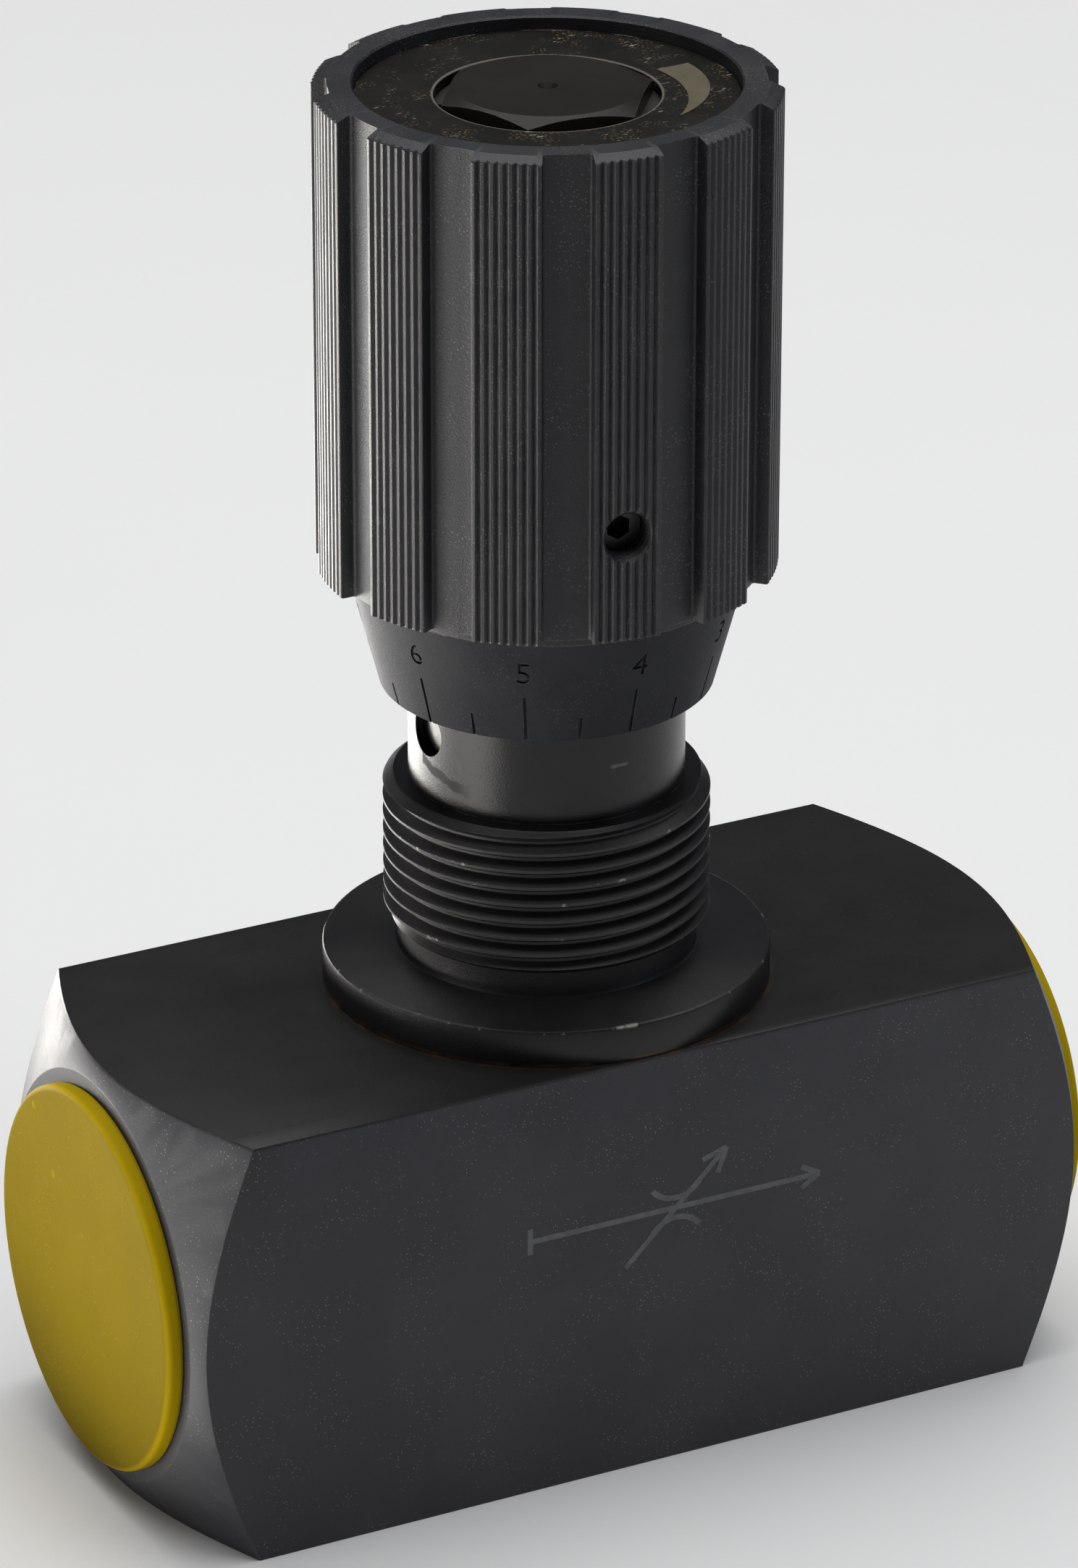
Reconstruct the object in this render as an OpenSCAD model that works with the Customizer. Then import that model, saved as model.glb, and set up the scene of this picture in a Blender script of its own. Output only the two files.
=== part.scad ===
// In-line needle flow control valve. Origin: centre of the body's bottom face.
// +X runs along the port axis, +Z up the spindle. The knob stands six turns open.

/* [Body] */
// Width of the square bar across its flats
bar_flats = 50; // [42:0.5:62]
// Length of the body between its end faces
body_length = 110; // [92:1:140]
// Diameter of the flat circle on each end face
end_face_d = 46.4; // [44:0.2:50]
// Slope of the turned end chamfer, from the end plane, in degrees
end_chamfer_angle = 30; // [20:1:40]

/* [Ports] */
// Tapped diameter of each port thread
port_tap_d = 30.3; // [25:0.1:34]
// Length of each port thread
port_thread_length = 16.5; // [13:0.5:20]
// Step in radius from each port thread to the plain mouth in front of it
port_mouth_step = 1.65; // [1:0.05:2.5]
// Depth of the plain mouth
port_mouth_depth = 5.5; // [4.5:0.5:7]
// Diameter of the drilled flow passages
passage_d = 12; // [8:0.5:13]
// Distance of the lower passage under the port axis
lower_passage_drop = 9; // [8:0.5:10]
// Distance of the upper passage over the port axis
upper_passage_rise = 7.5; // [6.5:0.5:9]

/* [Seat] */
// Diameter of the chamber over the seat
chamber_d = 26; // [22:0.5:28]
// Distance of the chamber floor under the port axis
seat_drop = 2.5; // [2:0.5:3]
// Height of the seat ring
seat_height = 4; // [3:0.5:6]
// Diameter of the seat orifice
orifice_d = 12; // [8:0.5:13]

/* [Bush] */
// Diameter of the screwed spigot under the flange
spigot_d = 32; // [30:0.5:36]
// Length of the spigot
spigot_length = 11.5; // [10:0.5:14]
// Diameter of the flange
flange_d = 49.6; // [46:0.2:60]
// Thickness of the flange
flange_thickness = 4.3; // [3:0.1:6]
// Diameter of the relief between the flange and the panel thread
relief_d = 33; // [32:0.1:34]
// Height of the relief
relief_height = 2.7; // [2:0.1:4]
// Outer diameter of the panel thread
panel_thread_d = 36; // [34:0.5:40]
// Length of the panel thread
panel_thread_length = 17.5; // [14:0.5:21]
// Chamfer at the top of the panel thread
thread_chamfer = 1; // [0.5:0.1:1.5]
// Wall of the bush between its upper bore and the smooth neck
neck_wall = 4.15; // [3.5:0.05:5]
// Height of the neck over the lock screw at full lift
neck_margin = 3.2; // [2.5:0.1:5]

/* [Spindle] */
// Lift of the spindle for one turn
spindle_pitch = 1.5; // [1:0.25:2]
// Turns from this pose to the closed stop
closing_turns = 6; // [4:0.5:6]
// Turns from this pose to the fully open stop
opening_turns = 1; // [0.5:0.5:2]
// Diameter of the sealed part of the spindle
seal_d = 18; // [16:0.5:18.4]
// Step in radius from the sealed part of the spindle to its thread
thread_step = 1; // [0.5:0.1:1.5]
// Step in radius from the spindle thread to the guided upper part
guide_step = 1; // [0.5:0.1:1.5]
// Depth of the stop groove under the spindle thread
stop_groove_depth = 3; // [2:0.1:4]
// Step in radius from the sealed part to the needle shank
needle_step = 1.5; // [1:0.1:2]
// Length of the needle's cone
needle_cone_length = 9.8; // [8:0.2:11]
// Width across the flats of the drive hexagon
hex_flats = 20.6; // [18:0.2:20.6]
// How far the hexagon stands over the cover disc
hex_rise = 0.85; // [0.2:0.05:1.2]
// Slope of the hexagon's turned corners, in degrees
hex_chamfer_angle = 22; // [15:1:30]
// Step in radius from the guided part to the collar that carries the knob
collar_step = 3; // [2:0.1:3.5]
// Thickness of the collar
collar_height = 3; // [2:0.5:4]
// Diameter of the stop pin
stop_pin_d = 5.4; // [4:0.5:6]
// Height of the stop pin over the panel thread
stop_pin_rise = 7.7; // [6:0.5:9]

/* [Seals] */
// Thickness of the spindle's round seal ring
seal_ring_section = 2; // [1.6:0.1:2.2]
// Thickness of the back-up ring beside it
backup_thickness = 1.2; // [0.8:0.1:1.5]
// Thickness of the seal ring under the flange
flange_seal_section = 1.8; // [1.4:0.1:2.2]
// Height of the wiper ring in the neck
wiper_height = 2.4; // [2:0.1:3]
// Depth of the wiper's groove in the neck
wiper_depth = 1.6; // [1.2:0.1:2]

/* [Knob] */
// Outer diameter over the ribs
knob_d = 50.2; // [46:0.2:60.4]
// Height of the knob with its dial
knob_height = 68.4; // [60:0.2:82.2]
// Number of ribs
rib_count = 12; // [8:1:16]
// Part of the rib pitch that is rib
rib_share = 0.577; // [0.4:0.01:0.7]
// Depth of the flutes between the ribs
flute_depth = 1.75; // [1:0.05:3]
// Fall of the ribs' tops from the rim to their outer edge
rib_top_fall = 0.6; // [0.3:0.05:1.5]
// Height of the dial cone
dial_height = 12.5; // [9:0.5:14]
// Diameter of the dial's lower edge
dial_bottom_d = 36.6; // [34:0.2:40]
// Step in radius from the dial cone up to the flute floors
dial_edge = 1.75; // [0.2:0.05:2.5]
// Step from the dial cone to the ribs' lower ends
rib_step = 1.4; // [0.8:0.1:3]
// Gap between the dial and the panel thread when closed
closed_gap = 2.2; // [1:0.1:4]
// Radial gap between the knob and the neck inside it
cavity_gap = 0.4; // [0.2:0.05:1]
// Thickness of the hub that grips the hexagon
hub_height = 9.8; // [7:0.1:11.5]
// Turn of the ribs and the hexagon about the axis, in degrees
knob_phase = -7.5; // [-15:0.5:15]

/* [Knob top] */
// Wall of the rim round the recess in the knob's top
rim_wall = 2.65; // [1:0.05:3.5]
// Depth of the recess over the cover disc
recess_depth = 1.5; // [1:0.1:2.5]
// Thickness of the cover disc
disc_thickness = 1; // [0.8:0.1:1.5]
// Radial gap between the hexagon and the hole in the cover disc
disc_hole_gap = 0.2; // [0.1:0.05:1]
// Inner radius of the open-direction mark at its thick end
mark_inner_r = 13.7; // [13:0.1:15]
// Width of the mark's thick end
mark_width = 4; // [2:0.1:4.5]
// How much farther out the mark's tip lies than its inner edge
mark_rise = 2; // [0.5:0.1:2.5]
// Angle covered by the mark, in degrees
mark_sweep = 60; // [20:1:90]
// Angle of the mark's thick end, in degrees
mark_start = 4.5; // [-60:0.5:60]
// Thickness of the mark over the disc
mark_thickness = 0.12; // [0.1:0.02:0.3]

/* [Retaining ring] */
// Thickness of the retaining ring on the hexagon
clip_thickness = 1.2; // [1:0.1:1.4]
// How far the retaining ring stands out past the hexagon corners
clip_reach = 2.6; // [1.5:0.1:3]
// Depth of the retaining ring groove under the flats
clip_groove_depth = 1; // [0.6:0.1:1.5]

/* [Lock screw] */
// Diameter of the lock screw
lock_screw_d = 5; // [4:0.5:6]
// Height of the lock screw over the dial's lower edge
lock_height = 25.8; // [20:0.2:30]
// Length of the lock screw
lock_screw_length = 5; // [4:0.5:6]
// Length of the soft pad at its tip
lock_pad_length = 1.6; // [1:0.1:2]
// Width across the flats of the screw's hexagon socket
lock_socket_flats = 2.5; // [2:0.5:3]

/* [Port plugs] */
// How far the plug's head reaches past the port mouth
plug_lip = 4.85; // [3:0.05:6]
// Thickness of the plug's head
plug_head_thickness = 2; // [1.5:0.1:3]
// Length of the plug's spigot
plug_spigot_length = 4.5; // [3.5:0.5:5]
// Wall of the plug's spigot
plug_wall = 1.6; // [1.2:0.1:2.5]
// Radius of the rounding on the head's rim
plug_rim_radius = 0.8; // [0.4:0.1:1]

/* [Clearances] */
// Radial clearance of parts that turn or slide in each other
running_gap = 0.05; // [0.02:0.01:0.09]
// Gap between faces that stop against each other
stop_gap = 0.2; // [0.1:0.05:0.4]
// Gap left between the needle and the seat at the closed stop
seat_gap = 0.1; // [0.05:0.05:0.2]
// Gap between faces that lie near each other
face_gap = 0.05; // [0.03:0.01:0.1]

/* [Hidden] */
$fn = 96;
eps = 0.01;
dimple_d = 2.4;
dimple_depth = 1.1;

oxide = [0.17, 0.17, 0.18];
steel = [0.55, 0.56, 0.58];
satin_black = [0.13, 0.13, 0.14];
yellow = [0.78, 0.68, 0.12];
rubber = [0.05, 0.05, 0.05];

port_mouth_d = port_tap_d + 2 * port_mouth_step;
spindle_thread_d = seal_d + 2 * thread_step;
guide_d = spindle_thread_d + 2 * guide_step;
stop_groove_d = spindle_thread_d - 2 * stop_groove_depth;
needle_d = seal_d - 2 * needle_step;
collar_d = guide_d + 2 * collar_step;
neck_d = guide_d + 2 * (running_gap + neck_wall);
cavity_d = neck_d + 2 * cavity_gap;
hex_corner_d = hex_flats / cos(30);
disc_hole_d = hex_corner_d + 2 * disc_hole_gap;
clip_d = hex_corner_d + 2 * clip_reach;
clip_groove_d = hex_flats - 2 * clip_groove_depth;
flute_floor_d = knob_d - 2 * flute_depth;
dial_top_d = flute_floor_d - 2 * dial_edge;
recess_d = flute_floor_d - 2 * rim_wall;
plug_head_d = port_mouth_d + 2 * plug_lip;
plug_spigot_d = port_mouth_d - 2 * running_gap;
closing_travel = closing_turns * spindle_pitch;
opening_travel = opening_turns * spindle_pitch;
port_z = bar_flats / 2;
body_top = bar_flats;
seat_bottom = port_z - seat_drop;
seat_top = seat_bottom + seat_height;
spigot_bottom = body_top - spigot_length;
flange_top = body_top + flange_thickness;
thread_top = flange_top + relief_height + panel_thread_length;
pin_z = thread_top + stop_pin_rise;
dial_bottom = thread_top + closed_gap + closing_travel;
dial_top = dial_bottom + dial_height;
rib_bottom = dial_top + rib_step;
knob_top = dial_bottom + knob_height;
disc_top = knob_top - recess_depth;
disc_bottom = disc_top - disc_thickness;
clip_pocket = clip_thickness + 0.3;
hub_top = disc_bottom - clip_pocket;
hub_bottom = hub_top - hub_height;
lock_z = dial_bottom + lock_height;
bush_top = lock_z + opening_travel + lock_screw_d / 2 + neck_margin;
seal_bottom = spigot_bottom + closing_travel + 3;
seal_groove_height = seal_ring_section + backup_thickness + 0.3;
seal_top = seal_bottom + seal_groove_height;
seal_bore_top = seal_top + opening_travel + 1;
inner_thread_top = pin_z - stop_pin_d / 2 - 3;
thread_start = seal_bore_top + closing_travel + 0.5;
stop_low = pin_z - stop_pin_d / 2 - opening_travel - stop_gap;
stop_high = pin_z + stop_pin_d / 2 + closing_travel + stop_gap;
seal_floor_d = seal_d - 2 * seal_ring_section;
pin_angle = -176.8;
lock_angle = knob_phase - 90;
pad_gap = 0.06;

// Cylinder along +X that starts at the point given
module along_x(d, length) { rotate([0, 90, 0]) cylinder(d = d, h = length); }

// Cylinder along the radius at the angle and height given, from radius r1 to r2
module radial(angle, z, d, r1, r2) {
    rotate([0, 0, angle]) translate([r1, 0, z]) along_x(d, r2 - r1);
}

// Solid of revolution about +Z from [radius, height] points
module turned(points) { rotate_extrude() polygon(points); }

// Ring of rectangular section
module ring(d_in, d_out, z, height) {
    translate([0, 0, z]) difference() {
        cylinder(d = d_out, h = height);
        translate([0, 0, -1]) cylinder(d = d_in, h = height + 2);
    }
}

// Ring of round section, its middle circle at the radius and height given
module round_ring(radius, section, z) {
    translate([0, 0, z]) rotate_extrude() translate([radius, 0]) circle(d = section, $fn = 32);
}

// Hexagonal bar with corners on the knob's phase
module hexagon(flats, z, height) {
    rotate([0, 0, knob_phase]) translate([0, 0, z]) cylinder(d = flats / cos(30), h = height, $fn = 6);
}

// Square bar with both ends turned to a shallow cone
module bar_blank() {
    face_r = end_face_d / 2;
    far_r = bar_flats;
    slope = (far_r - face_r) * tan(end_chamfer_angle);
    intersection() {
        translate([-body_length / 2, -bar_flats / 2, 0]) cube([body_length, bar_flats, bar_flats]);
        translate([0, 0, port_z]) rotate([0, 90, 0]) turned([
            [0, -body_length / 2], [face_r, -body_length / 2], [far_r, slope - body_length / 2],
            [far_r, body_length / 2 - slope], [face_r, body_length / 2], [0, body_length / 2]]);
    }
}

// Mouth, thread and drill point of one port, seen from the +X end
module port_cut() {
    mouth = body_length / 2 - port_mouth_depth;
    thread_end = mouth - port_thread_length;
    translate([mouth, 0, port_z]) along_x(port_mouth_d, port_mouth_depth + 1);
    translate([thread_end, 0, port_z]) along_x(port_tap_d, port_thread_length + 1);
}

module valve_body() {
    port_floor = body_length / 2 - port_mouth_depth - port_thread_length;
    color(oxide) difference() {
        bar_blank();
        port_cut();
        mirror([1, 0, 0]) port_cut();
        translate([-port_floor - 1, 0, port_z - lower_passage_drop]) along_x(passage_d, port_floor + 5);
        translate([0, 0, port_z + upper_passage_rise]) along_x(passage_d, port_floor + 1);
        translate([0, 0, port_z - lower_passage_drop])
            cylinder(d = orifice_d, h = seat_bottom - port_z + lower_passage_drop + 1);
        translate([0, 0, seat_bottom]) cylinder(d = chamber_d, h = body_top);
        translate([0, 0, spigot_bottom]) cylinder(d = spigot_d, h = body_top);
        translate([0, 0, body_top - flange_seal_section])
            cylinder(d = spigot_d + 2 * flange_seal_section + 0.6, h = body_top);
    }
}

module seat_ring() {
    lead = 0.6;
    color(steel) difference() {
        translate([0, 0, seat_bottom]) cylinder(d = chamber_d, h = seat_height);
        translate([0, 0, seat_bottom - 1]) cylinder(d = orifice_d, h = seat_height + 2);
        translate([0, 0, seat_bottom - eps]) cylinder(d1 = orifice_d + 2 * lead, d2 = orifice_d, h = lead);
    }
}

module spindle_bush() {
    seal_bore = seal_d + 2 * running_gap;
    thread_bore = spindle_thread_d + 2 * running_gap;
    guide_bore = guide_d + 2 * running_gap;
    color(oxide) difference() {
        turned([
            [0, spigot_bottom], [spigot_d / 2 - 1, spigot_bottom], [spigot_d / 2, spigot_bottom + 1],
            [spigot_d / 2, body_top], [flange_d / 2 - 0.2, body_top], [flange_d / 2, body_top + 0.2],
            [flange_d / 2, flange_top - 0.3], [flange_d / 2 - 0.3, flange_top], [relief_d / 2, flange_top],
            [relief_d / 2, flange_top + relief_height],
            [panel_thread_d / 2, flange_top + relief_height + (panel_thread_d - relief_d) / 2],
            [panel_thread_d / 2, thread_top - thread_chamfer], [panel_thread_d / 2 - thread_chamfer, thread_top],
            [neck_d / 2, thread_top], [neck_d / 2, bush_top - 0.5], [neck_d / 2 - 0.5, bush_top],
            [0, bush_top]]);
        translate([0, 0, spigot_bottom - 1]) cylinder(d = seal_bore, h = bush_top);
        translate([0, 0, seal_bore_top]) cylinder(d = thread_bore, h = bush_top);
        translate([0, 0, inner_thread_top]) cylinder(d = guide_bore, h = bush_top);
        translate([0, 0, bush_top - wiper_height - 2])
            cylinder(d = guide_bore + 2 * wiper_depth, h = wiper_height);
        radial(pin_angle, pin_z, stop_pin_d + 2 * running_gap, guide_d / 4, neck_d);
    }
}

module flange_seal_ring() {
    color(rubber) round_ring(spigot_d / 2 + flange_seal_section / 2 + 0.15, flange_seal_section,
                             body_top - flange_seal_section / 2);
}

module spindle() {
    seal_r = seal_d / 2;
    thread_r = spindle_thread_d / 2;
    guide_r = guide_d / 2;
    needle_r = needle_d / 2;
    contact_z = seat_top + closing_travel + seat_gap;
    slope = 0.5;
    needle_top = contact_z + (needle_r - orifice_d / 2) / slope;
    tip_r = needle_r - slope * needle_cone_length;
    color(steel) difference() {
        union() {
            turned([
                [0, needle_top - needle_cone_length], [tip_r, needle_top - needle_cone_length],
                [needle_r, needle_top], [needle_r, seal_bottom - 2], [seal_r, seal_bottom - 1.4],
                [seal_r, seal_bottom], [seal_floor_d / 2, seal_bottom], [seal_floor_d / 2, seal_top],
                [seal_r, seal_top], [seal_r, thread_start], [thread_r, thread_start + thread_r - seal_r],
                [thread_r, stop_low], [stop_groove_d / 2, stop_low], [stop_groove_d / 2, stop_high],
                [guide_r, stop_high], [guide_r, hub_bottom - collar_height],
                [collar_d / 2, hub_bottom - collar_height], [collar_d / 2, hub_bottom], [0, hub_bottom]]);
            drive_hexagon();
        }
        ring(clip_groove_d, hex_flats * 2, hub_top, clip_thickness + face_gap);
        translate([0, 0, disc_top + hex_rise - dimple_depth]) cylinder(d1 = 0.6, d2 = dimple_d, h = dimple_depth + eps);
    }
}

// Drive hexagon with its upper corners turned to a shallow cone
module drive_hexagon() {
    top = disc_top + hex_rise;
    corner_r = hex_corner_d / 2;
    flat_r = hex_flats / 2 - 0.5;
    drop = (corner_r + 1 - flat_r) * tan(hex_chamfer_angle);
    intersection() {
        hexagon(hex_flats, hub_bottom - eps, top - hub_bottom + eps);
        turned([[0, hub_bottom - 1], [corner_r + 1, hub_bottom - 1],
                [corner_r + 1, top - drop], [flat_r, top], [0, top]]);
    }
}

module spindle_seal_ring() {
    section = seal_ring_section - 2 * face_gap;
    color(rubber) round_ring(seal_floor_d / 2 + seal_ring_section / 2 + 0.02, section,
                             seal_bottom + seal_ring_section / 2 + face_gap);
}

module backup_ring() {
    color("white") ring(seal_floor_d + 2 * face_gap, seal_d + 2 * face_gap - 0.04,
                        seal_bottom + seal_ring_section + 2 * face_gap, backup_thickness);
}

module wiper_ring() {
    bore = guide_d + 2 * running_gap;
    color(rubber) ring(bore, bore + 2 * wiper_depth, bush_top - wiper_height - 2, wiper_height);
}

module stop_pin() {
    tip = stop_groove_d / 2 + 0.4;
    color(steel) radial(pin_angle, pin_z, stop_pin_d, tip, neck_d / 2 - 1.2);
}

// Outline of the knob's outside and bore as [radius, height] points
function knob_outline() = [
    [cavity_d / 2, dial_bottom], [dial_bottom_d / 2, dial_bottom], [dial_top_d / 2, dial_top],
    [dial_top_d / 2, rib_bottom],
    [knob_d / 2, rib_bottom], [knob_d / 2, knob_top - rib_top_fall], [flute_floor_d / 2 + 0.3, knob_top],
    [recess_d / 2, knob_top], [recess_d / 2, disc_bottom], [clip_d / 2 + 0.5, disc_bottom],
    [clip_d / 2 + 0.5, hub_top], [0, hub_top], [0, hub_bottom], [cavity_d / 2, hub_bottom]];

// The space between two ribs
module flute() {
    half = 180 / rib_count * (1 - rib_share);
    far = knob_d;
    difference() {
        translate([0, 0, dial_top]) linear_extrude(knob_height)
            polygon([[0, 0], [far * cos(half), -far * sin(half)], [far * cos(half), far * sin(half)]]);
        translate([0, 0, dial_top - 1]) cylinder(d = flute_floor_d, h = knob_height + 2);
    }
}

module grip_knob() {
    pitch = 360 / rib_count;
    color(satin_black) difference() {
        turned(knob_outline());
        for (k = [0 : rib_count - 1]) rotate([0, 0, knob_phase + pitch * (k + 0.5)]) flute();
        hexagon(hex_flats + 2 * face_gap, hub_bottom - 1, hub_height + 2);
        radial(lock_angle, lock_z, lock_screw_d + 2 * running_gap, cavity_d / 4, knob_d);
    }
}

module cover_disc() {
    color(oxide) ring(disc_hole_d, recess_d - 2 * face_gap, disc_bottom, disc_thickness);
}

// Tapered crescent that points the way the knob closes
module turn_mark() {
    steps = 12;
    function edge(r, k) = let (a = mark_start - mark_sweep * k / steps) r * [cos(a), sin(a)];
    function inner(k) = mark_inner_r + mark_rise * k / steps;
    function outer(k) = mark_inner_r + mark_width - (mark_width - mark_rise) * pow(k / steps, 2);
    points = concat([for (k = [0 : steps]) edge(outer(k), k)], [for (k = [steps - 1 : -1 : 0]) edge(inner(k), k)]);
    color([0.75, 0.72, 0.6]) translate([0, 0, disc_top]) linear_extrude(mark_thickness) polygon(points);
}

module retaining_ring() {
    gap_angle = 40;
    color(steel) difference() {
        ring(clip_groove_d + 2 * face_gap, clip_d, hub_top, clip_thickness);
        rotate([0, 0, knob_phase + 180]) translate([0, 0, hub_top - 1]) linear_extrude(clip_thickness + 2)
            polygon([[0, 0], [clip_d, -clip_d * tan(gap_angle / 2)], [clip_d, clip_d * tan(gap_angle / 2)]]);
    }
}

module lock_screw() {
    inner = neck_d / 2 + pad_gap + lock_pad_length;
    outer = inner + lock_screw_length;
    socket_depth = lock_screw_length / 2;
    color(steel) difference() {
        radial(lock_angle, lock_z, lock_screw_d, inner, outer);
        rotate([0, 0, lock_angle]) translate([outer - socket_depth, 0, lock_z]) rotate([0, 90, 0])
            cylinder(d = lock_socket_flats / cos(30), h = socket_depth + 1, $fn = 6);
    }
}

// Soft pad at the screw's tip, hollowed to the curve of the neck
module lock_pad() {
    inner = neck_d / 2 + pad_gap;
    color([0.75, 0.6, 0.3]) difference() {
        radial(lock_angle, lock_z, lock_screw_d - 1, inner - 1, inner + lock_pad_length);
        translate([0, 0, lock_z - lock_screw_d]) cylinder(r = inner, h = 2 * lock_screw_d);
    }
}

// Half outline of a plug with a rounded rim, head outwards along +Z
module plug_outline() {
    head_r = plug_head_d / 2;
    spigot_r = plug_spigot_d / 2;
    rim = plug_rim_radius;
    square([head_r - rim, plug_head_thickness]);
    square([head_r, plug_head_thickness - rim]);
    translate([head_r - rim, plug_head_thickness - rim]) circle(r = rim, $fn = 32);
    translate([spigot_r - plug_wall, -plug_spigot_length]) square([plug_wall, plug_spigot_length + 1]);
}

// Push-in plug for the +X port
module port_plug() {
    color(yellow) translate([body_length / 2 + face_gap, 0, port_z]) rotate([0, 90, 0])
        rotate_extrude() plug_outline();
}

module port_plug_right() { port_plug(); }
module port_plug_left() { mirror([1, 0, 0]) port_plug(); }

valve_body();
seat_ring();
spindle_bush();
flange_seal_ring();
spindle();
spindle_seal_ring();
backup_ring();
wiper_ring();
stop_pin();
grip_knob();
cover_disc();
turn_mark();
retaining_ring();
lock_screw();
lock_pad();
port_plug_left();
port_plug_right();
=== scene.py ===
"""Looks for the in-line needle flow control valve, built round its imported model."""
import logging
import math
from dataclasses import dataclass, field
from enum import Enum
from typing import Callable, Iterable, Optional, Sequence

import bmesh
import bpy
from mathutils import Matrix, Vector


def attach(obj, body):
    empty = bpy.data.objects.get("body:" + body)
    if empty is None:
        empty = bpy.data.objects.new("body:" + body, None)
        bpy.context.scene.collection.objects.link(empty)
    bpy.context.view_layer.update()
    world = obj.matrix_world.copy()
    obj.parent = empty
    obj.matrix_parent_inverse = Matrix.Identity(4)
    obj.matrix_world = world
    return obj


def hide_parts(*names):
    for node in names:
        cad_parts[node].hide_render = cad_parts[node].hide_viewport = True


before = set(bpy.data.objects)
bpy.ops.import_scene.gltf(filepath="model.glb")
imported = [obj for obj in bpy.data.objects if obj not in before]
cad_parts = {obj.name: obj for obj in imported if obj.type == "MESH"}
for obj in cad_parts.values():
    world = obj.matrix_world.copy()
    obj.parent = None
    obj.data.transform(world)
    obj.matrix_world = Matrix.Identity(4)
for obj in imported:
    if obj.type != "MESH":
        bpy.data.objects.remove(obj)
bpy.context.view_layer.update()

log = logging.getLogger("valve")
logging.basicConfig(level=logging.INFO, format="%(name)s: %(message)s")

MM = 0.001
Colour = tuple[float, float, float]
Profile = Sequence[tuple[float, float]]


class Body(str, Enum):
    """The moving bodies that pieces ride on."""

    VALVE = "valve"
    KNOB = "turning_knob"
    LEFT_PLUG = "left_plug"
    RIGHT_PLUG = "right_plug"


class Op(str, Enum):
    """The Math node operations that expressions use."""

    ADD = "ADD"
    SUBTRACT = "SUBTRACT"
    MULTIPLY = "MULTIPLY"
    POWER = "POWER"
    ABSOLUTE = "ABSOLUTE"


# ---------------------------------------------------------------- shader maths

class Value:
    """A number socket that takes part in Python arithmetic."""

    def __init__(self, shader: "Shader", socket: bpy.types.NodeSocket) -> None:
        """Wraps one socket of the shader's tree."""
        self.shader = shader
        self.socket = socket

    def maths(self, op: Op, other: "Value | float" = 0.0, swap: bool = False) -> "Value":
        """Adds a Math node.

        Args:
            op: the operation.
            other: the second operand.
            swap: whether the operands change places.

        Returns:
            The node's result.
        """
        first, second = (other, self) if swap else (self, other)
        return self.shader.number("ShaderNodeMath", {"operation": op.value}, {0: first, 1: second})

    def __add__(self, other: "Value | float") -> "Value":
        """Sum."""
        return self.maths(Op.ADD, other)

    def __radd__(self, other: float) -> "Value":
        """Sum with a plain number on the left."""
        return self.maths(Op.ADD, other, True)

    def __sub__(self, other: "Value | float") -> "Value":
        """Difference."""
        return self.maths(Op.SUBTRACT, other)

    def __rsub__(self, other: float) -> "Value":
        """Difference from a plain number."""
        return self.maths(Op.SUBTRACT, other, True)

    def __mul__(self, other: "Value | float") -> "Value":
        """Product."""
        return self.maths(Op.MULTIPLY, other)

    def __rmul__(self, other: float) -> "Value":
        """Product with a plain number on the left."""
        return self.maths(Op.MULTIPLY, other, True)

    def __pow__(self, other: "Value | float") -> "Value":
        """Power."""
        return self.maths(Op.POWER, other)

    def __abs__(self) -> "Value":
        """Size without sign."""
        return self.maths(Op.ABSOLUTE)

    def above(self, low: float, high: float) -> "Value":
        """Rises smoothly from 0 at low to 1 at high, or falls where low is the larger."""
        return self.shader.number(
            "ShaderNodeMapRange",
            {"interpolation_type": "SMOOTHSTEP", "clamp": True},
            {"Value": self, "From Min": low, "From Max": high, "To Min": 0.0, "To Max": 1.0},
        )

    def between(self, low: float, high: float, soft: float) -> "Value":
        """1 between low and high, with soft edges outside them."""
        return self.above(low - soft, low) * self.above(high + soft, high)


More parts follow.
